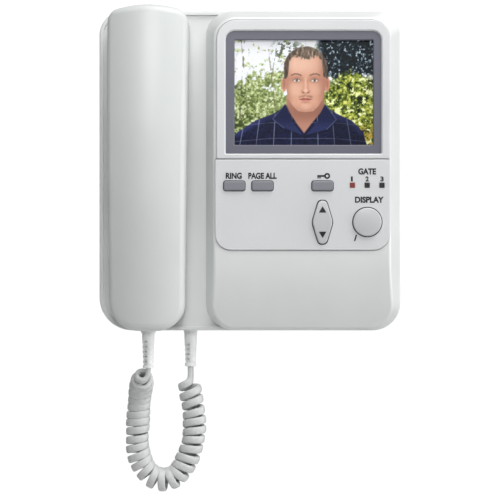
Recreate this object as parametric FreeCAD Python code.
import FreeCAD, Part
import math
import os

# Wall-mounted video door intercom with a handset. Millimetres.
# The wall is the plane Y = 0 and the front faces -Y. +X is right and +Z is up, seen from the front.
# The origin is the centre of the wall bracket's screw pattern.

V = FreeCAD.Vector

# Driving dimensions
WIDTH = 198.0
HEIGHT = 210.0
WALL = 2.2
SEAM_Y = -13.0  # joint between the rear cover and the front case
FLOOR_Y = -30.0  # cradle floor
RIM_W = 2.6
RIM_H = 1.6
REST_GAP = 1.0  # clearance of the rim round the resting handset
CASE_RADII = (15.8, 13.2, 18.5, 21.8)  # top left, top right, bottom right, bottom left

FACE_Y = -52.0  # front of the raised monitor section
FACE_WALL = 3.0
FOOT_LEFT = -28.9
FACE = (-23.4, 90.1, -100.2, 96.9)  # X low, X high, Z low, Z high
FACE_RADII = (14.0, 13.0, 15.0, 15.0)
FOOT_RADII = (16.0, 13.2, 18.5, 18.0)
ROLL_TOP_Z = -52.0
ROLL_R = 124.0

LEDGE_Y = -50.6  # seat of the screen frame and control panel
PANEL_Y = -53.0
FRAME = (-21.5, 89.5, 6.4, 95.5)
FRAME_RADII = (13.0, 12.0, 0.8, 0.8)
PANEL = (-22.4, 89.5, -52.2, 5.9)
PANEL_RADII = (0.8, 0.8, 10.3, 10.3)
MASK = (-15.6, 84.2, 9.6, 88.3)
MASK_RADII = (5.8, 5.8, 0.6, 0.6)
PICTURE = (-9.9, 79.0, 15.3, 82.5)
PANE = (-13.3, 81.8, 12.2, 85.8)
PANE_Y = -49.4
LIGHTBOX_BACK_Y = -41.8
SHEET_BACK_Y = -40.8  # display bracket
DISPLAY_BOARD_Y = -38.0
DISPLAY_BOARD_BACK_Y = -36.4
SEAT_GAP = 0.35

KEY_X = (-10.05, 7.95, 46.4)
KEY_Z = -11.05
KEY_W = 13.5
KEY_H = 6.1
KEY_FRONT_Y = -54.3
KEY_GAP = 0.5
LED_X = (65.6, 75.05, 84.5)
LED_Z = -10.6
LED_SIZE = 3.3
LED_FRONT_Y = -53.3
LED_BACK_Y = -47.0
ROCKER_X = 46.4
ROCKER_Z = -34.3
ROCKER_W = 13.3
ROCKER_H = 27.6
ROCKER_GAP = 0.6
ROCKER_CROWN_Y = -54.9
ROCKER_CROWN_R = 130.0
PIVOT_Y = -48.9
PIVOT_R = 1.0
PIVOT_GAP = 0.05
DIAL_X = 75.1
DIAL_Z = -34.2
DIAL_R = 9.1
DIAL_GAP = 0.65
DIAL_CROWN_Y = -55.4
DIAL_CROWN_R = 60.0
FLANGE_BACK_Y = -49.3
FLANGE_FRONT_Y = -50.3
STEM_END_Y = -47.1
BOARD_FRONT_Y = -43.1
BOARD_T = 1.6
SWITCH_TOP_Y = -46.0

BRACKET_T = 1.2
BOLT_X = 46.0
BOLT_Z = 83.5
BOLT_HOLE_R = 2.25
BACK_Y = -4.5  # outside of the rear cover's back wall
MAIN_BOARD_Y = -18.0
TERMINAL_X = (-12.5, -7.5, -2.5, 2.5, 7.5, 12.5)
TERMINAL_Z = -40.0

HS_X = -65.5
HS_BOTTOM = -103.7
HS_CROWN_Y = -70.0
HS_CROWN_R = 46.0  # crossways
HS_LONG_R = 680.0  # lengthways
HS_BACK_Y = -31.0
HS_GRIP_Y = -47.0
HS_PART_Y = -49.2
HS_WALL = 2.2
HS_RIM_R = 6.0
HS_SCREWS = ((HS_X, 26.0), (HS_X, -26.0))
EAR_Z = 72.0
MOUTH_Z = -75.0
MOUTH_PAD = (HS_X - 18, HS_X + 18, MOUTH_Z - 14, MOUTH_Z + 14)
EAR_R = 20.0
BOSS_Y = -28.2
RECESS_Y = -26.0
PLUNGER_X = -47.5
PLUNGER_Z = 50.5
PLUNGER_FRONT_Y = -30.9
PLUNGER_BACK_Y = -19.4
HOOK_SWITCH_Y = -18.0
HOOK_BOARD_Y = -11.6

BASE_EXIT = (-39.5, -21.0, -105.0)
HANDSET_EXIT = (HS_X, -48.0, HS_BOTTOM)
COIL_R = 7.65
TAIL_R = 2.35
RELIEF_LENGTH = 24.3
RELIEF_PITCH = 3.25  # between its square holes
RELIEF_HOLE_DEPTH = 2.3
COIL_ROUTE = (
    (-41.4, -22.0, -139.0),
    (-37.8, -22.6, -153.0),
    (-36.4, -24.0, -167.5),
    (-37.8, -25.8, -181.0),
    (-41.2, -27.7, -194.8),
    (-50.3, -29.6, -202.7),
    (-62.2, -32.0, -202.8),
    (-71.4, -34.2, -195.2),
    (-74.2, -35.5, -182.9),
    (-73.2, -36.4, -169.0),
    (-72.4, -38.2, -156.6),
    (-69.8, -42.4, -146.6),
    (-66.2, -47.0, -138.4),
    (-65.5, -48.0, -128.6),
)


def save(shape, node):
    """Write one sub-part as parts/NODE.step."""
    shape.exportStep(f"parts/{node}.step")


def to_front(y):
    """Placement of a flat outline (u, v) in the plane Y = y, as X and Z."""
    return lambda u, v: V(u, y, v)


def to_side(x):
    """Placement of a flat outline (u, v) in the plane X = x, as Y and Z."""
    return lambda u, v: V(x, u, v)


def rounded_wire(points, radii, place):
    """Closed outline through corner points, each corner rounded by its radius."""
    count = len(points)
    arcs = []
    for i in range(count):
        corner = V(*points[i], 0)
        back = (V(*points[i - 1], 0) - corner).normalize()
        ahead = (V(*points[(i + 1) % count], 0) - corner).normalize()
        half = back.getAngle(ahead) / 2
        reach = radii[i] / math.tan(half)
        inward = (back + ahead).normalize()
        middle = corner + inward * (radii[i] / math.sin(half) - radii[i])
        arcs.append((corner + back * reach, middle, corner + ahead * reach))
    edges = []
    for i in range(count):
        start, middle, end = (place(p.x, p.y) for p in arcs[i])
        following = place(arcs[(i + 1) % count][0].x, arcs[(i + 1) % count][0].y)
        edges.append(Part.Arc(start, middle, end).toShape())
        if (following - end).Length > 1e-6:
            edges.append(Part.LineSegment(end, following).toShape())
    return Part.Wire(edges)


def rectangle_wire(limits, radii, y, inset=0.0):
    """Rounded rectangle in the plane Y = y; limits are X low, X high, Z low, Z high."""
    x0, x1, z0, z1 = limits
    corners = (
        (x0 + inset, z1 - inset),
        (x1 - inset, z1 - inset),
        (x1 - inset, z0 + inset),
        (x0 + inset, z0 + inset),
    )
    return rounded_wire(corners, [max(r - inset, 0.3) for r in radii], to_front(y))


def prism(wire, vector):
    """Solid swept straight from a flat closed outline."""
    return Part.Face(wire).extrude(vector)


def plate(limits, radii, back, front, inset=0.0):
    """Rounded rectangular plate between two Y planes."""
    return prism(rectangle_wire(limits, radii, back, inset), V(0, front - back, 0))


def box(x0, x1, y0, y1, z0, z1):
    """Box between opposite corners."""
    return Part.makeBox(x1 - x0, y1 - y0, z1 - z0, V(x0, y0, z0))


def rod(x, z, radius, back, front):
    """Cylinder along Y, from the back plane towards the front."""
    return Part.makeCylinder(radius, back - front, V(x, back, z), V(0, -1, 0))


def fused(shapes):
    """Union of several solids, with flush faces merged."""
    return shapes[0].multiFuse(shapes[1:]).removeSplitter()


def edges_at(shape, y):
    """Edges that lie in the plane Y = y."""
    return [e for e in shape.Edges if abs(e.BoundBox.YMin - y) < 0.01 and abs(e.BoundBox.YMax - y) < 0.01]


def edges_within(shape, y, limits):
    """Edges in the plane Y = y that lie inside X and Z limits."""
    x0, x1, z0, z1 = limits
    found = []
    for edge in edges_at(shape, y):
        bounds = edge.BoundBox
        across = x0 - 0.1 < bounds.XMin and bounds.XMax < x1 + 0.1
        upright = z0 - 0.1 < bounds.ZMin and bounds.ZMax < z1 + 0.1
        if across and upright:
            found.append(edge)
    return found


def edges_before(shape, y):
    """Edges that lie wholly in front of the plane Y = y."""
    return [e for e in shape.Edges if e.BoundBox.YMax < y]


def slots(x, z, length, width, pitch, count, back, front):
    """Row of horizontal sound slots with round ends."""
    cuts = []
    for i in range(count):
        mid = z + (i - (count - 1) / 2) * pitch
        limits = (x - length / 2, x + length / 2, mid - width / 2, mid + width / 2)
        cuts.append(plate(limits, (width * 0.49,) * 4, back, front))
    return cuts


# --- base: shells ---------------------------------------------------------------------------


CASE = (-WIDTH / 2, WIDTH / 2, -HEIGHT / 2, HEIGHT / 2)
FOOT = (FOOT_LEFT, WIDTH / 2, -HEIGHT / 2, HEIGHT / 2)
CASE_POSTS = {(-86.0, 91.0): -28.9, (83.0, 90.3): -50.0, (83.0, -89.0): -44.5, (-84.0, -88.0): -28.9}
BOARD_POSTS = ((-8.0, 84.0), (66.0, 84.0), (66.0, -84.0), (-8.0, -84.0))
HOOK_POSTS = ((-76.0, 40.0), (-34.0, 64.0))
DISPLAY_POSTS = ((-17.4, 25.0), (-17.4, 75.0), (85.2, 25.0), (85.2, 75.0))
STANDOFFS = [(x, z) for x in (0, 55) for z in (30, 70)]
PANEL_POSTS = ((-14.0, -44.0), (61.0, -44.0), (20.0, -6.0), (57.5, -6.0))
BOLTS = [(sx * BOLT_X / 2, sz * BOLT_Z / 2) for sx in (-1, 1) for sz in (-1, 1)]


def monitor_block(inset, front):
    """Raised section: narrows towards the front and rolls back below the controls."""
    foot = rectangle_wire(FOOT, FOOT_RADII, FLOOR_Y, inset)
    face = rectangle_wire(FACE, FACE_RADII, FACE_Y, inset)
    horn = Part.makeLoft([foot, face], True, True)
    root = prism(foot, V(0, SEAM_Y - FLOOR_Y, 0))
    roll_end = ROLL_R - math.sqrt(ROLL_R**2 - (FACE[2] - 6.0 - ROLL_TOP_Z) ** 2)
    roll_mid = ROLL_R - math.sqrt(ROLL_R**2 - ((FACE[2] - 6.0 - ROLL_TOP_Z) / 2) ** 2)
    low = FACE[2] - 6.0
    side = Part.Wire(
        [
            Part.LineSegment(V(-100, 0, 120), V(-100, front, 120)).toShape(),
            Part.LineSegment(V(-100, front, 120), V(-100, front, ROLL_TOP_Z)).toShape(),
            Part.Arc(
                V(-100, front, ROLL_TOP_Z),
                V(-100, front + roll_mid, (ROLL_TOP_Z + low) / 2),
                V(-100, front + roll_end, low),
            ).toShape(),
            Part.LineSegment(V(-100, front + roll_end, low), V(-100, 0, low)).toShape(),
            Part.LineSegment(V(-100, 0, low), V(-100, 0, 120)).toShape(),
        ]
    )
    return fused([horn, root]).common(prism(side, V(210, 0, 0)))


def front_case():
    """Front shell: raised monitor section on the right, handset cradle with its rim on the left."""
    slab = plate(CASE, CASE_RADII, SEAM_Y, FLOOR_Y - RIM_H)
    slab = slab.makeFillet(1.2, edges_at(slab, FLOOR_Y - RIM_H))
    channel = plate(CASE, CASE_RADII, FLOOR_Y, FLOOR_Y - 5, RIM_W)
    rest = prism(handset_outline(-REST_GAP, FLOOR_Y), V(0, -5, 0))
    raised = monitor_block(0.0, FACE_Y)
    rim_edges = []
    for edge in edges_before(raised, FLOOR_Y - 6):
        bounds = edge.BoundBox
        roll_start = bounds.ZLength < 0.01 and abs(bounds.ZMax - ROLL_TOP_Z) < 0.5
        if bounds.ZMax > ROLL_TOP_Z - 40 and not roll_start:
            rim_edges.append(edge)
    outer = fused([slab.cut([channel, rest]), raised.makeFillet(2.2, rim_edges)])
    hollow = fused(
        [
            plate(CASE, CASE_RADII, SEAM_Y + 1, FLOOR_Y + WALL, WALL),
            monitor_block(WALL, FACE_Y + FACE_WALL),
            plate(FOOT, FOOT_RADII, SEAM_Y + 1, SEAM_Y - 1, WALL),
        ]
    )
    shell = outer.cut(hollow)
    added = [rod(x, z, 3.6, BACK_Y - WALL, front) for (x, z), front in CASE_POSTS.items()]
    added += [rod(x, z, 2.5, LIGHTBOX_BACK_Y, FACE_Y + FACE_WALL - 1) for x, z in DISPLAY_POSTS]
    added.append(rod(HS_X, EAR_Z, EAR_R + 1.5 + WALL, RECESS_Y + WALL, FLOOR_Y + 0.5))
    mouth = (HS_X - 20, HS_X + 20, MOUTH_Z - 16, MOUTH_Z + 16)
    added.append(plate(mouth, (8.0,) * 4, RECESS_Y + WALL, FLOOR_Y + 0.5, -WALL))
    shell = fused([shell] + added)
    cuts = [
        rod(HS_X, EAR_Z, EAR_R + 1.5, RECESS_Y, FLOOR_Y - 3),
        plate(mouth, (8.0,) * 4, RECESS_Y, FLOOR_Y - 3),
        plate(FRAME, FRAME_RADII, LEDGE_Y, FACE_Y - 3, -SEAT_GAP),
        plate(PANEL, PANEL_RADII, LEDGE_Y, FACE_Y - 3, -SEAT_GAP),
        plate(PANE, (1.0,) * 4, FACE_Y + 6, FACE_Y - 3, -0.2),
        box(-18.5, 86.2, FACE_Y - 3, FACE_Y + 6, -48.6, -1.6),
        rod(PLUNGER_X, PLUNGER_Z, 2.6, FLOOR_Y + 4, FLOOR_Y - 1),
        Part.makeCylinder(4.0, 8, V(BASE_EXIT[0], BASE_EXIT[1], BASE_EXIT[2] - 2)),
    ]
    cuts += slots(HS_X, 0, 28, 1.8, 4.5, 7, FLOOR_Y + 4, FLOOR_Y - 1)
    cuts += [rod(x, z, 1.4, BACK_Y, -19.0) for x, z in CASE_POSTS]
    cuts += [rod(x, z, 0.9, -41.0, -47.0) for x, z in DISPLAY_POSTS]
    return shell.cut(cuts)


def rear_cover():
    """Rear shell: rim against the wall, back wall set in for the bracket, lip inside the front case."""
    tray = plate(CASE, CASE_RADII, 0, SEAM_Y, 0.4)
    lip = plate(CASE, CASE_RADII, SEAM_Y, SEAM_Y - 3, WALL + 0.3)
    bosses = [rod(x, z, 3.5, BACK_Y - WALL, MAIN_BOARD_Y) for x, z in BOARD_POSTS]
    bosses += [rod(x, z, 3.0, BACK_Y - WALL, -10.0) for x, z in HOOK_POSTS]
    cuts = [
        plate(CASE, CASE_RADII, 0, BACK_Y, WALL + 0.4),
        plate(CASE, CASE_RADII, BACK_Y - WALL, SEAM_Y - 3, WALL + 1.9),
    ]
    shell = tray.fuse(lip).cut(cuts)
    shell = fused([shell] + bosses)
    openings = [plate((-17, 17, -52, 30), (3.0,) * 4, 0, -9)]
    openings += [rod(x, z, 5.0, 0, -9) for x, z in BOLTS]
    openings += [box(x - 5, x + 5, -9, 0, z - 2.2, z + 5.5) for x in (-31, 31) for z in (-52, 48)]
    openings += [rod(x, z, 1.6, 0, -9) for x, z in CASE_POSTS]
    openings += [rod(x, z, 1.0, -8, -20) for x, z in BOARD_POSTS]
    openings += [rod(x, z, 1.0, -7, -11) for x, z in HOOK_POSTS]
    x, y, z = BASE_EXIT
    openings.append(box(x - 7, x + 7, y, SEAM_Y - 0.4, z - 1, z + 8))
    return shell.cut(openings)


def wall_bracket():
    """Pressed steel bracket: four screw holes, a cable opening and four upturned hooks."""
    blank = plate((-40, 40, -58, 58), (4.0,) * 4, 0, -BRACKET_T)
    cuts = [rod(x, z, BOLT_HOLE_R, 1, -3) for x, z in BOLTS]
    cuts.append(plate((-16, 16, -30, 28), (3.0,) * 4, 1, -3))
    hooks = []
    for x in (-31, 31):
        for z in (-52, 48):
            hooks.append(box(x - 4, x + 4, -8.2, -BRACKET_T, z - 0.6, z + 0.6))
            hooks.append(box(x - 4, x + 4, -8.2, -7.0, z - 0.6, z + 4.0))
    return fused([blank.cut(cuts)] + hooks)


def screw(x, z, seat, end, shank_r, head_r, head_t):
    """Pan-head screw driven towards the front (-Y); its head sits behind the seat plane."""
    head = rod(x, z, head_r, seat + head_t, seat)
    head = head.makeFillet(head_t * 0.4, edges_at(head, seat + head_t))
    recess = [
        box(x - 0.35, x + 0.35, seat + head_t * 0.5, seat + head_t + 1, z - head_r * 0.5, z + head_r * 0.5),
        box(x - head_r * 0.5, x + head_r * 0.5, seat + head_t * 0.5, seat + head_t + 1, z - 0.35, z + 0.35),
    ]
    return head.fuse(rod(x, z, shank_r, seat, end)).cut(recess)


def case_screws():
    """Four screws through the rear cover into the front case's posts."""
    return Part.makeCompound([screw(x, z, BACK_Y, -18.0, 1.4, 2.9, 2.0) for x, z in CASE_POSTS])


# --- base: screen ---------------------------------------------------------------------------


def screen_frame():
    """Light trim round the screen, set into the face."""
    body = plate(FRAME, FRAME_RADII, LEDGE_Y, PANEL_Y - 0.2)
    body = body.makeFillet(0.7, edges_at(body, PANEL_Y - 0.2))
    opening = plate(MASK, MASK_RADII, LEDGE_Y + 1, PANEL_Y - 2)
    body = body.cut(opening)
    return body.makeChamfer(0.8, edges_within(body, PANEL_Y - 0.2, MASK))


def screen_mask():
    """Grey border with a sloped edge round the picture."""
    body = plate(MASK, MASK_RADII, LEDGE_Y, PANEL_Y + 1.0, 0.08)
    opening = plate(PICTURE, (0.5,) * 4, LEDGE_Y + 1, PANEL_Y - 1)
    body = body.cut(opening)
    return body.makeChamfer(0.6, edges_within(body, PANEL_Y + 1.0, PICTURE))


def screen_window():
    """Clear pane between the mask and the display."""
    return plate(PANE, (0.8,) * 4, PANE_Y, LEDGE_Y)


def display_panel():
    """Picture panel."""
    return plate(PANE, (0.8,) * 4, PANE_Y + 2.4, PANE_Y + 0.2, 0.3)


def display_backlight():
    """Light box behind the picture panel."""
    return plate(PANE, (0.8,) * 4, LIGHTBOX_BACK_Y, PANE_Y + 2.4, 0.6)


def display_bracket():
    """Sheet-metal frame that clamps the display to the front case."""
    x0, x1, z0, z1 = PANE
    sheet = box(x0, x1, LIGHTBOX_BACK_Y, SHEET_BACK_Y, z0, z1)
    tabs = []
    for x, z in DISPLAY_POSTS:
        outer = x - 2.4 if x < x0 else x + 2.4
        inner = x0 + 1 if x < x0 else x1 - 1
        tabs.append(box(min(outer, inner), max(outer, inner), LIGHTBOX_BACK_Y, SHEET_BACK_Y, z - 5, z + 5))
    standoffs = [rod(x, z, 2.0, DISPLAY_BOARD_Y, SHEET_BACK_Y) for x, z in STANDOFFS]
    holes = [rod(x, z, 1.0, -40, -43) for x, z in DISPLAY_POSTS]
    holes += [rod(x, z, 0.8, -37, -40.5) for x, z in STANDOFFS]
    window = box(x0 + 14, x1 - 14, -43, -40, z0 + 26, z1 - 26)
    return fused([sheet] + tabs + standoffs).cut(holes + [window])


def display_board():
    """Driver board behind the display, with its chips and cable socket."""
    back = DISPLAY_BOARD_BACK_Y
    board = box(-6, 61, DISPLAY_BOARD_Y, back, 24, 76)
    chips = [box(10, 22, back, back + 1.4, 44, 56), box(34, 41, back, back + 1.2, 48, 58)]
    socket = box(28, 42, back, back + 3.8, 27, 32)
    holes = [rod(x, z, 1.0, back + 0.4, DISPLAY_BOARD_Y - 1) for x, z in STANDOFFS]
    return fused([board] + chips + [socket]).cut(holes)


# --- base: controls -------------------------------------------------------------------------


def rocker_outline(grow):
    """Corners and radii of the rocker: widest at the middle, straight flanks and blunt round tips."""
    w = ROCKER_W / 2 + grow
    h = ROCKER_H / 2 + grow
    tip = w - 0.305 * h
    points = ((w, 0), (tip, h), (-tip, h), (-w, 0), (-tip, -h), (tip, -h))
    moved = [(ROCKER_X + u, ROCKER_Z + v) for u, v in points]
    return moved, (8.0, 3.0, 3.0, 8.0, 3.0, 3.0)


def control_panel():
    """Light panel with openings for the keys, lights, rocker and round button."""
    body = plate(PANEL, PANEL_RADII, LEDGE_Y, PANEL_Y)
    body = body.makeFillet(0.6, edges_at(body, PANEL_Y))
    points, radii = rocker_outline(ROCKER_GAP)
    cuts = [prism(rounded_wire(points, radii, to_front(LEDGE_Y + 1)), V(0, -6, 0))]
    cuts.append(rod(DIAL_X, DIAL_Z, DIAL_R + DIAL_GAP, LEDGE_Y + 1, PANEL_Y - 1))
    for x in KEY_X:
        limits = (x - KEY_W / 2, x + KEY_W / 2, KEY_Z - KEY_H / 2, KEY_Z + KEY_H / 2)
        cuts.append(plate(limits, (1.4,) * 4, LEDGE_Y + 1, PANEL_Y - 1, -KEY_GAP))
    for x in LED_X:
        limits = (x - LED_SIZE / 2, x + LED_SIZE / 2, LED_Z - LED_SIZE / 2, LED_Z + LED_SIZE / 2)
        cuts.append(plate(limits, (0.3,) * 4, LEDGE_Y + 1, PANEL_Y - 1, -0.1))
    posts = [rod(x, z, 2.3, BOARD_FRONT_Y, LEDGE_Y - 0.5) for x, z in PANEL_POSTS]
    ears = [
        box(x - 0.9, x + 0.9, LEDGE_Y, PIVOT_Y + 2.2, ROCKER_Z - 2.4, ROCKER_Z + 2.4)
        for x in (ROCKER_X - 8.8, ROCKER_X + 8.8)
    ]
    body = fused([body.cut(cuts)] + posts + ears)
    bores = [Part.makeCylinder(PIVOT_R + PIVOT_GAP, 24, V(ROCKER_X - 12, PIVOT_Y, ROCKER_Z), V(1, 0, 0))]
    bores += [rod(x, z, 0.9, BOARD_FRONT_Y + 1, BOARD_FRONT_Y - 6) for x, z in PANEL_POSTS]
    return body.cut(bores)


def key(x):
    """Rounded push key: cap, retaining flange and stem."""
    limits = (x - KEY_W / 2, x + KEY_W / 2, KEY_Z - KEY_H / 2, KEY_Z + KEY_H / 2)
    cap = plate(limits, (1.4,) * 4, FLANGE_FRONT_Y, KEY_FRONT_Y)
    cap = cap.makeFillet(0.8, edges_at(cap, KEY_FRONT_Y))
    flange = plate(limits, (1.4,) * 4, FLANGE_BACK_Y, FLANGE_FRONT_Y, -1.2)
    stem = rod(x, KEY_Z, 1.8, STEM_END_Y, FLANGE_BACK_Y)
    return fused([cap, flange, stem])


def monitor_button():
    """Round push button with a slightly domed face, a flange and a stem."""
    dome = Part.makeSphere(DIAL_CROWN_R, V(DIAL_X, DIAL_CROWN_Y + DIAL_CROWN_R, DIAL_Z))
    drum = rod(DIAL_X, DIAL_Z, DIAL_R, FLANGE_FRONT_Y, DIAL_CROWN_Y - 1).common(dome)
    drum = drum.makeFillet(0.9, edges_before(drum, PANEL_Y))
    flange = rod(DIAL_X, DIAL_Z, DIAL_R + 1.5, FLANGE_BACK_Y, FLANGE_FRONT_Y)
    stem = rod(DIAL_X, DIAL_Z, 2.2, STEM_END_Y, FLANGE_BACK_Y)
    return fused([drum, flange, stem])


def tilt_rocker():
    """Up and down rocker: crowned cap, pivot pin and two legs."""
    points, radii = rocker_outline(0.0)
    blank = prism(rounded_wire(points, radii, to_front(LEDGE_Y)), V(0, -6, 0))
    axis_y = ROCKER_CROWN_Y + ROCKER_CROWN_R
    crown = Part.makeCylinder(ROCKER_CROWN_R, 40, V(ROCKER_X - 20, axis_y, ROCKER_Z), V(1, 0, 0))
    cap = blank.common(crown)
    cap = cap.makeFillet(0.9, edges_before(cap, PANEL_Y))
    web = box(ROCKER_X - 5.5, ROCKER_X + 5.5, LEDGE_Y - 0.5, PIVOT_Y + 1.6, ROCKER_Z - 1.8, ROCKER_Z + 1.8)
    pin = Part.makeCylinder(PIVOT_R, 19.0, V(ROCKER_X - 9.5, PIVOT_Y, ROCKER_Z), V(1, 0, 0))
    legs = [rod(ROCKER_X, ROCKER_Z + dz, 1.6, STEM_END_Y - 0.4, LEDGE_Y - 0.5) for dz in (-9, 9)]
    return fused([cap, web, pin] + legs)


def control_board():
    """Circuit board behind the control panel."""
    board = box(-17.5, 85.5, BOARD_FRONT_Y, BOARD_FRONT_Y + BOARD_T, -48, -2.2)
    holes = [rod(x, z, 1.1, BOARD_FRONT_Y + 3, BOARD_FRONT_Y - 1) for x, z in PANEL_POSTS]
    socket = box(0, 16, BOARD_FRONT_Y + BOARD_T, BOARD_FRONT_Y + BOARD_T + 4, -30, -25)
    return board.cut(holes).fuse(socket)


def key_switches():
    """Six tact switches: one behind each key and the round button, two behind the rocker."""
    places = [(x, KEY_Z) for x in KEY_X] + [(DIAL_X, DIAL_Z)]
    places += [(ROCKER_X, ROCKER_Z + dz) for dz in (-9, 9)]
    switches = []
    for x, z in places:
        body = box(x - 3, x + 3, SWITCH_TOP_Y + 0.5, BOARD_FRONT_Y, z - 3, z + 3)
        switches.append(body.fuse(rod(x, z, 1.7, SWITCH_TOP_Y + 0.5, SWITCH_TOP_Y)))
    return Part.makeCompound(switches)


def door_light(x):
    """Square light with its body on the board."""
    half = LED_SIZE / 2
    lens = box(x - half, x + half, LED_FRONT_Y, LED_BACK_Y, LED_Z - half, LED_Z + half)
    lens = lens.makeFillet(0.25, edges_at(lens, LED_FRONT_Y))
    return lens.fuse(rod(x, LED_Z, 1.4, BOARD_FRONT_Y, LED_BACK_Y))


# --- base: electronics ----------------------------------------------------------------------


def main_board():
    """Main circuit board on the rear cover's posts."""
    board = box(-20, 78, MAIN_BOARD_Y - BOARD_T, MAIN_BOARD_Y, -92, 92)
    holes = [rod(x, z, 1.2, MAIN_BOARD_Y + 1, MAIN_BOARD_Y - 3) for x, z in BOARD_POSTS]
    return board.cut(holes)


def board_components():
    """Tall parts on the main board: transformer, capacitors, coil, chips and sockets."""
    face = MAIN_BOARD_Y - BOARD_T
    parts = [
        box(46, 68, face - 14, face, -66, -44),
        rod(34, -58, 5, face, face - 13),
        rod(34, -44, 4, face, face - 11),
        rod(20, -60, 6, face, face - 8),
        box(10, 26, face - 1.6, face, 6, 22),
        box(38, 46, face - 1.4, face, 10, 24),
        box(-12, 0, face - 1.4, face, -30, -12),
        box(52, 68, face - 6, face, -20, -14),
        box(-12, 2, face - 6, face, 60, 66),
        rod(56, 40, 4, face, face - 9),
    ]
    return Part.makeCompound(parts)


def terminal_block():
    """Six-way terminal block on the back of the main board."""
    block = box(-15.5, 15.5, MAIN_BOARD_Y, MAIN_BOARD_Y + 9, TERMINAL_Z - 7, TERMINAL_Z + 4)
    cuts = []
    for x in TERMINAL_X:
        cuts.append(rod(x, TERMINAL_Z, 1.9, MAIN_BOARD_Y + 10, MAIN_BOARD_Y + 4))
        low = TERMINAL_Z - 8
        cuts.append(box(x - 1.6, x + 1.6, MAIN_BOARD_Y + 1.5, MAIN_BOARD_Y + 5, low, low + 6))
    return block.cut(cuts)


def terminal_screws():
    """Clamp screws of the terminal block."""
    seat = MAIN_BOARD_Y + 6
    return Part.makeCompound([screw(x, TERMINAL_Z, seat, seat - 1.9, 1.1, 1.7, 1.4) for x in TERMINAL_X])


def board_screws():
    """Screws of the main board, display bracket, display board and control board."""
    small = []
    for x, z in DISPLAY_POSTS:
        small.append(screw(x, z, SHEET_BACK_Y, -46.0, 0.9, 1.9, 1.2))
    for x, z in STANDOFFS:
        small.append(screw(x, z, DISPLAY_BOARD_BACK_Y, -40.4, 0.8, 1.6, 1.0))
    for x, z in PANEL_POSTS:
        small.append(screw(x, z, BOARD_FRONT_Y + BOARD_T, BOARD_FRONT_Y - 5, 0.9, 1.9, 1.2))
    for x, z in BOARD_POSTS:
        turned = screw(x, z, 0, -8.0, 1.0, 2.2, 1.4)
        turned.rotate(V(x, 0, z), V(0, 0, 1), 180)
        turned.translate(V(0, MAIN_BOARD_Y - BOARD_T, 0))
        small.append(turned)
    return Part.makeCompound(small)


def call_speaker():
    """Call speaker under the cradle's slots: basket, cone and magnet."""
    basket = rod(HS_X, 0, 20, FLOOR_Y + WALL + 3, FLOOR_Y + WALL)
    bowl = Part.makeCone(16, 9, 4.5, V(HS_X, FLOOR_Y + WALL + 3, 0), V(0, 1, 0))
    magnet = rod(HS_X, 0, 9, FLOOR_Y + WALL + 12, FLOOR_Y + WALL + 7.5)
    dish = Part.makeCone(15, 6, 5, V(HS_X, FLOOR_Y + WALL, 0), V(0, 1, 0))
    return fused([basket, bowl, magnet]).cut(dish)


def hook_plunger():
    """Plunger that the resting handset holds in."""
    pin = rod(PLUNGER_X, PLUNGER_Z, 2.5, PLUNGER_BACK_Y, PLUNGER_FRONT_Y)
    pin = pin.makeFillet(0.8, edges_at(pin, PLUNGER_FRONT_Y))
    return pin.fuse(rod(PLUNGER_X, PLUNGER_Z, 3.5, PLUNGER_BACK_Y - 2, PLUNGER_BACK_Y - 3.2))


def hook_switch():
    """Hook switch under the plunger."""
    body = box(PLUNGER_X - 6, PLUNGER_X + 6, HOOK_SWITCH_Y, HOOK_BOARD_Y, PLUNGER_Z - 5, PLUNGER_Z + 5)
    return body.fuse(rod(PLUNGER_X, PLUNGER_Z, 1.6, HOOK_SWITCH_Y, HOOK_SWITCH_Y - 1))


def hook_board():
    """Small board that carries the hook switch and the cord's socket."""
    board = box(-80, -30, HOOK_BOARD_Y, HOOK_BOARD_Y + BOARD_T, 36, 68)
    socket = box(-70, -58, HOOK_BOARD_Y - 5, HOOK_BOARD_Y, 40, 46)
    holes = [rod(x, z, 1.1, -9, -13) for x, z in HOOK_POSTS]
    return board.fuse(socket).cut(holes)


# --- handset --------------------------------------------------------------------------------


def handset_outline(inset, y):
    """Front outline in the plane Y = y: arched top, slight taper and wide lower corners."""
    points = (
        (-91.4, 101.4),
        (-63.0, 105.4),
        (-39.5, 101.2),
        (-42.2, HS_BOTTOM),
        (-89.8, HS_BOTTOM),
    )
    wire = rounded_wire(points, (9.0, 90.0, 10.0, 17.0, 19.0), to_front(y))
    return wire.makeOffset2D(-inset) if inset else wire


def handset_side(inset):
    """Side profile: deep ends that rest in the cradle and a thin grip with a finger gap behind."""
    back = HS_BACK_Y - inset
    grip = HS_GRIP_Y - inset
    points = (
        (-90, 120),
        (back, 120),
        (back, 42 + inset * 0.6),
        (grip, 33 + inset * 0.6),
        (grip, -33 - inset * 0.6),
        (back, -42 - inset * 0.6),
        (back, -120),
        (-90, -120),
    )
    return rounded_wire(points, (1, 1, 5, 7, 7, 5, 1, 1), to_side(-100.0))


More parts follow.
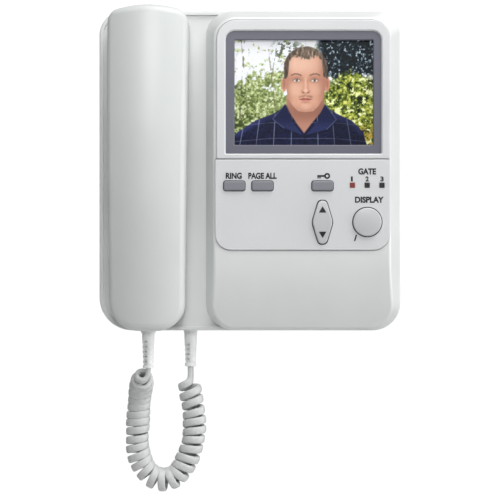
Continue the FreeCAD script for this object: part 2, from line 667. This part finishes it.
def handset_body(inset):
    """Handset envelope: doubly curved front, cut to the outline and the side profile."""
    crown = HS_CROWN_Y + inset
    radius = HS_CROWN_R - inset
    edge_y = crown + radius - math.sqrt(radius**2 - 30.0**2)
    left = HS_X - 30.0
    right = HS_X + 30.0
    section = Part.Wire(
        [
            Part.LineSegment(V(left, -10, 0), V(left, edge_y, 0)).toShape(),
            Part.Arc(V(left, edge_y, 0), V(HS_X, crown, 0), V(right, edge_y, 0)).toShape(),
            Part.LineSegment(V(right, edge_y, 0), V(right, -10, 0)).toShape(),
            Part.LineSegment(V(right, -10, 0), V(left, -10, 0)).toShape(),
        ]
    )
    centre = V(HS_X, HS_CROWN_Y + HS_LONG_R, 0)
    face = Part.Face(section)
    face.rotate(centre, V(1, 0, 0), -10.5)
    arched = face.revolve(centre, V(1, 0, 0), 21.0)
    block = prism(handset_outline(inset, -20.0), V(0, -70, 0))
    body = arched.common(block)
    if inset == 0:
        curved = [f for f in body.Faces if "Toroid" in f.Surface.TypeId or "Revol" in f.Surface.TypeId]
        rim = [e for f in curved for e in f.Edges if e.BoundBox.YMax < HS_GRIP_Y]
        body = body.makeFillet(HS_RIM_R, rim)
    return body.common(prism(handset_side(inset), V(70, 0, 0)))


def ring_of_holes(x, z, back, front):
    """Sound holes: one in the centre and two rings."""
    holes = [rod(x, z, 1.1, back, front)]
    for count, radius in ((6, 5.0), (12, 10.0)):
        for i in range(count):
            turn = 2 * math.pi * i / count
            holes.append(rod(x + radius * math.cos(turn), z + radius * math.sin(turn), 1.1, back, front))
    return holes


def handset_shells():
    """Outer and inner halves of the handset, split behind the grip."""
    body = handset_body(0)
    hollow = handset_body(HS_WALL)
    front_half = box(-110, -20, -100, HS_PART_Y, -120, 120)
    back_half = box(-110, -20, HS_PART_Y, 0, -120, 120)
    exit_hole = Part.makeCylinder(4.15, 12, V(HANDSET_EXIT[0], HANDSET_EXIT[1], HS_BOTTOM - 4))
    posts = [rod(x, z, 3.4, -53.0, -80.0).common(body) for x, z in HS_SCREWS]
    pilots = [rod(x, z, 1.3, -52.0, -62.0) for x, z in HS_SCREWS]
    outer = fused([body.common(front_half).cut(hollow)] + posts)
    outer = outer.cut(pilots + [exit_hole])
    pads = [rod(x, z, 4.6, -48.0, -53.0) for x, z in HS_SCREWS]
    pads.append(rod(HS_X, EAR_Z, EAR_R, BOSS_Y, HS_BACK_Y - 1))
    pads.append(plate(MOUTH_PAD, (6.0,) * 4, BOSS_Y, HS_BACK_Y - 1))
    ring = rod(HS_X, EAR_Z, 17.8, HS_BACK_Y - 1.5, -40.0).cut(rod(HS_X, EAR_Z, 16.3, -30.0, -41.0))
    inner = fused([body.common(back_half).cut(hollow)] + pads + [ring])
    cuts = ring_of_holes(HS_X, EAR_Z, -27.0, -34.0)
    cuts += slots(HS_X, MOUTH_Z, 12, 1.6, 4.0, 3, -27.0, -34.0)
    cuts += [rod(x, z, 3.0, -46.0, -50.0) for x, z in HS_SCREWS]
    cuts += [rod(x, z, 1.6, -49.0, -54.0) for x, z in HS_SCREWS]
    cuts.append(exit_hole)
    return outer, inner.cut(cuts)


def handset_screws():
    """Two screws, sunk in the back of the grip."""
    return Part.makeCompound([screw(x, z, -50.0, -61.0, 1.3, 2.7, 2.0) for x, z in HS_SCREWS])


def earpiece_gasket():
    """Foam ring between the ear shell and the capsule."""
    return rod(HS_X, EAR_Z, 16.0, -33.2, -34.7).cut(rod(HS_X, EAR_Z, 12.5, -33.0, -35.0))


def earpiece_capsule():
    """Earpiece capsule: case, with a smaller magnet behind."""
    case = rod(HS_X, EAR_Z, 15.8, -34.7, -40.5)
    return fused([case, rod(HS_X, EAR_Z, 9.0, -40.5, -45.0)])


def microphone():
    """Electret capsule."""
    return rod(HS_X, MOUTH_Z, 4.85, -34.4, -39.6)


def microphone_boot():
    """Rubber boot round the microphone, open at its face."""
    outer = rod(HS_X, MOUTH_Z, 7.0, -33.2, -41.2)
    return outer.cut(fused([rod(HS_X, MOUTH_Z, 4.85, -34.4, -39.6), rod(HS_X, MOUTH_Z, 3.2, -33.0, -35.0)]))


def handset_weight():
    """Steel bar that keeps the handset seated."""
    return plate((HS_X - 9, HS_X + 9, -18, 18), (2.0,) * 4, -52.0, -60.0)


# --- cord -----------------------------------------------------------------------------------


def cord_relief(exit_at, top_r, tip_r, collar_r, first_hole, hole_count):
    """Moulded strain relief: collar, tapered sleeve with square holes and grooves, tip ring, inner flange."""
    x, y, z = exit_at
    down = V(0, 0, -1)
    sleeve = Part.makeCone(top_r, tip_r, RELIEF_LENGTH, V(x, y, z), down)
    neck = Part.makeCylinder(3.9, 3.4, V(x, y, z + 3.2), down)
    flange = Part.makeCylinder(6.0, 1.6, V(x, y, z + 4.6), down)
    collar = Part.makeCylinder(collar_r, 1.6, V(x, y, z), down)
    tip = Part.makeCylinder(tip_r + 0.35, 2.4, V(x, y, z - RELIEF_LENGTH + 2.4), down)
    tip = tip.makeFillet(0.5, tip.Edges)
    cuts = []
    for i in range(hole_count):
        level = z - first_hole - i * RELIEF_PITCH
        radius = top_r + (tip_r - top_r) * (z - level) / RELIEF_LENGTH
        for side in (-1, 1):
            depth = (y + side * (radius - RELIEF_HOLE_DEPTH), y + side * (radius + 1))
            cuts.append(box(x - 2.1, x - 0.4, min(depth), max(depth), level - 0.85, level + 0.85))
        groove = Part.makeCylinder(radius + 1, 0.8, V(x, y, level - 1.3), down)
        cuts.append(groove.cut(Part.makeCylinder(radius - 0.6, 0.8, V(x, y, level - 1.3), down)))
    return fused([sleeve, neck, flange, collar, tip]).cut(cuts)


def route_tube(points, radius, label):
    """Round tube along straight runs joined by tangent arcs; prints the arc radii and volumes."""
    nodes = [V(*p) for p in points]
    edges = []
    start = nodes[0]
    radii = []
    for before, corner, after in zip(nodes, nodes[1:], nodes[2:]):
        back = before - corner
        ahead = after - corner
        reach = 0.45 * min(back.Length, ahead.Length)
        back.normalize()
        ahead.normalize()
        half = back.getAngle(ahead) / 2
        bend = reach * math.tan(half)
        inward = (back + ahead).normalize()
        middle = corner + inward * (bend / math.sin(half) - bend)
        first = corner + back * reach
        last = corner + ahead * reach
        edges.append(Part.LineSegment(start, first).toShape())
        edges.append(Part.Arc(first, middle, last).toShape())
        radii.append(round(bend, 1))
        start = last
    edges.append(Part.LineSegment(start, nodes[-1]).toShape())
    path = Part.Wire(edges)
    heading = (nodes[1] - nodes[0]).normalize()
    section = Part.Wire(Part.Circle(nodes[0], heading, radius).toShape())
    tube = path.makePipeShell([section], True, False)
    expected = round(math.pi * radius**2 * path.Length)
    print(label, "length", round(path.Length, 1), "radii", radii, "volume", round(tube.Volume), expected)
    return tube


def cord_tail():
    """Short straight cord between the base's strain relief and the coil."""
    x, y, z = BASE_EXIT
    route = ((x, y, z - RELIEF_LENGTH), (x, y, z - RELIEF_LENGTH - 4.1), COIL_ROUTE[0])
    return route_tube(route, TAIL_R, "cord_tail")


def main():
    os.makedirs("parts", exist_ok=True)
    outer_shell, inner_shell = handset_shells()
    pieces = {
        "wall_bracket": wall_bracket(),
        "rear_cover": rear_cover(),
        "front_case": front_case(),
        "case_screws": case_screws(),
        "screen_frame": screen_frame(),
        "screen_mask": screen_mask(),
        "screen_window": screen_window(),
        "display_panel": display_panel(),
        "display_backlight": display_backlight(),
        "display_bracket": display_bracket(),
        "display_board": display_board(),
        "control_panel": control_panel(),
        "control_board": control_board(),
        "key_switches": key_switches(),
        "door_light_1": door_light(LED_X[0]),
        "door_light_2": door_light(LED_X[1]),
        "door_light_3": door_light(LED_X[2]),
        "main_board": main_board(),
        "board_components": board_components(),
        "terminal_block": terminal_block(),
        "terminal_screws": terminal_screws(),
        "board_screws": board_screws(),
        "call_speaker": call_speaker(),
        "hook_switch": hook_switch(),
        "hook_board": hook_board(),
        "tone_button": key(KEY_X[0]),
        "all_call_button": key(KEY_X[1]),
        "door_release_button": key(KEY_X[2]),
        "monitor_button": monitor_button(),
        "tilt_rocker": tilt_rocker(),
        "hook_plunger": hook_plunger(),
        "handset_outer_shell": outer_shell,
        "handset_inner_shell": inner_shell,
        "handset_screws": handset_screws(),
        "earpiece_gasket": earpiece_gasket(),
        "earpiece_capsule": earpiece_capsule(),
        "microphone": microphone(),
        "microphone_boot": microphone_boot(),
        "handset_weight": handset_weight(),
        "handset_cord_relief": cord_relief(HANDSET_EXIT, 4.15, 3.2, 4.85, 7.4, 5),
        "base_cord_relief": cord_relief(BASE_EXIT, 4.35, 3.4, 4.6, 9.9, 4),
        "cord_tail": cord_tail(),
        "curly_cord": route_tube(COIL_ROUTE, COIL_R, "curly_cord"),
    }
    for node, shape in pieces.items():
        print(node, "valid" if shape.isValid() else "INVALID", len(shape.Solids), round(shape.Volume))
        save(shape, node)


main()
